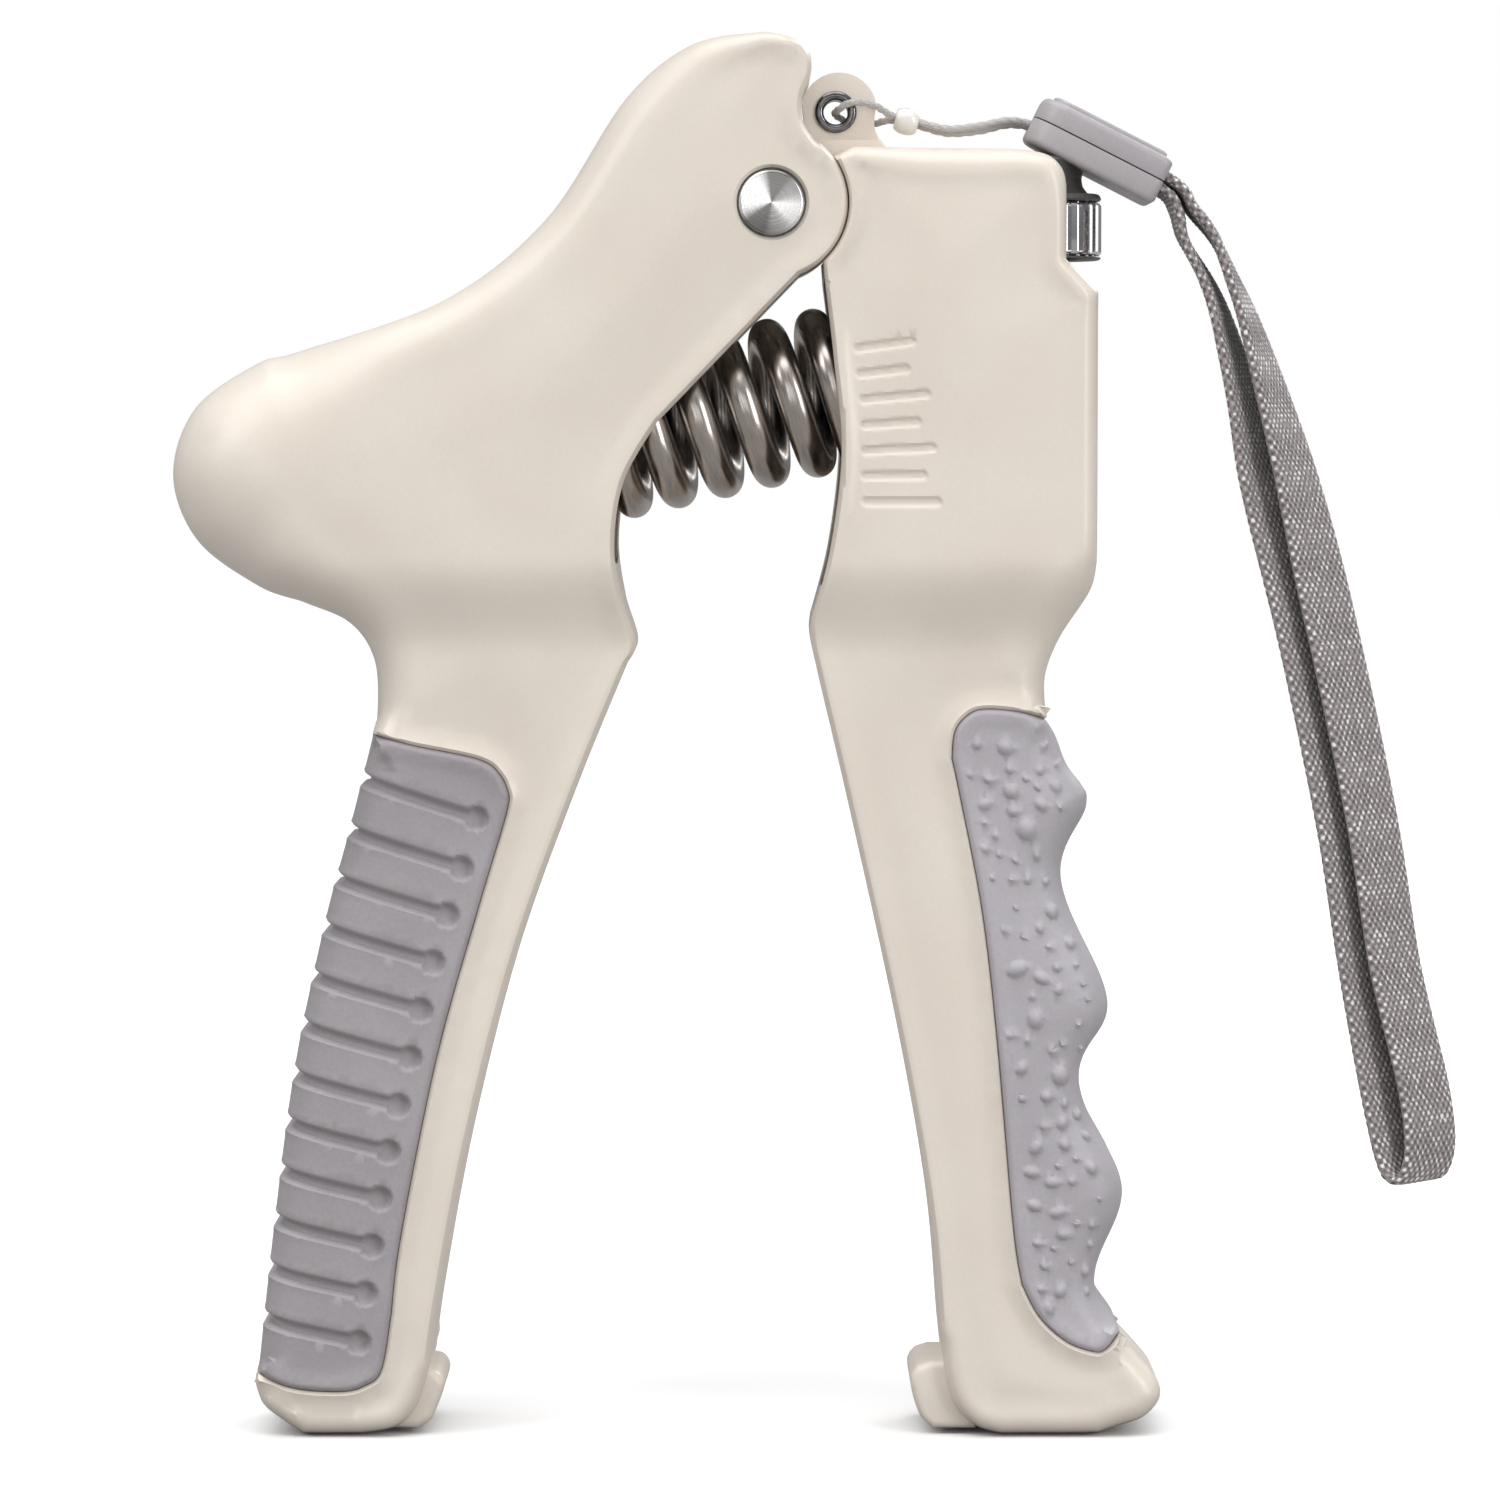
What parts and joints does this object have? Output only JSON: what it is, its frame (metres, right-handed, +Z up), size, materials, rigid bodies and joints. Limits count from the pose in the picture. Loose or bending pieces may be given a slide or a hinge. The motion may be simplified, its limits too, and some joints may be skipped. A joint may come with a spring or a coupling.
{
  "type": "hand gripper",
  "caption": "Adjustable coil-spring hand gripper: palm handle hinged to a finger-wave handle, strength knob with spring carriage, wrist strap on a cord.",
  "frame": {"origin": "middle of the gripper's box, without the strap, on the surface that its feet stand on", "axes": "+Z up from the feet to the hinge, +X from the palm handle to the finger handle, +Y from the front to the back"},
  "size_m": [0.1549, 0.028, 0.1664],
  "materials": {
    "cream_shell": "satin moulded ABS, warm cream",
    "soft_grip": "matte grey-mauve soft elastomer",
    "brushed_pin": "face turned with fine rings",
    "zinc_steel": "plain zinc plated",
    "spring_steel": "dark nickel plated, polished",
    "bright_chrome": "bright chrome plate",
    "bearing_brass": "plain turned",
    "black_plastic": "matte moulded nylon",
    "grey_plastic": "satin moulded, grey mauve",
    "webbing": "woven polyester, grey melange with pale flecks",
    "cord": "braided cord with silver thread",
    "pearl_bead": "glossy pearl white"
  },
  "bodies": {
    "right_handle": {"right_front_shell": "cream_shell", "right_back_shell": "cream_shell", "finger_grip": "soft_grip", "right_stop_bumper": "cream_shell", "hinge_tongue": "cream_shell", "pivot_bush": "bearing_brass", "strap_eyelet": "bright_chrome", "upper_screw_bearing": "bearing_brass", "lower_screw_bearing": "bearing_brass", "right_shell_screw_1": "zinc_steel", "right_shell_screw_2": "zinc_steel", "right_shell_screw_3": "zinc_steel", "right_shell_screw_4": "zinc_steel", "right_shell_screw_5": "zinc_steel", "lanyard_cord": "cord", "cord_bead": "pearl_bead", "strap_slider_upper": "grey_plastic", "strap_slider_lower": "grey_plastic", "webbing_loop": "webbing"},
    "left_handle": {"left_front_shell": "cream_shell", "left_back_shell": "cream_shell", "palm_grip": "soft_grip", "left_stop_bumper": "cream_shell", "fixed_spring_seat": "black_plastic", "pivot_pin": "brushed_pin", "pivot_cap": "brushed_pin", "front_washer": "bearing_brass", "back_washer": "bearing_brass", "left_shell_screw_1": "zinc_steel", "left_shell_screw_2": "zinc_steel", "left_shell_screw_3": "zinc_steel", "left_shell_screw_4": "zinc_steel", "left_shell_screw_5": "zinc_steel"},
    "adjuster": {"knob_sleeve": "bright_chrome", "knob_core": "black_plastic", "lead_screw": "zinc_steel"},
    "carriage": {"spring_carriage": "black_plastic", "carriage_nut": "bearing_brass"},
    "spring": {"main_spring": "spring_steel"}
  },
  "joints": [
    {"name": "squeeze", "type": "hinge", "parent": "right_handle", "child": "left_handle", "pos_m": [0.01242, 0, 0.14652], "axis": [0, -1, 0], "range_deg": [0, 20], "stiffness_Nm_per_rad": 33.7, "springref_deg": -3.44},
    {"name": "knob_turn", "type": "hinge", "parent": "right_handle", "child": "adjuster", "pos_m": [0.0439, 0, 0.144], "axis": [0, 0, 1], "range_deg": [-2160, 360]},
    {"name": "carriage_slide", "type": "slide", "parent": "right_handle", "child": "carriage", "axis": [0, 0, 1], "range_m": [-0.0095, 0.002]},
    {"name": "spring_swing", "type": "hinge", "parent": "left_handle", "child": "spring", "pos_m": [-0.0105, 0, 0.118], "axis": [0, -1, 0], "range_deg": [-15.5, 3.5], "deforming": ["main_spring"]}
  ],
  "couplings": [
    {"joint": "carriage_slide", "follows": "knob_turn", "m_per_rad": 0.00023873},
    {"joint": "spring_swing", "follows": "knob_turn", "ratio": 0.0065833}
  ]
}
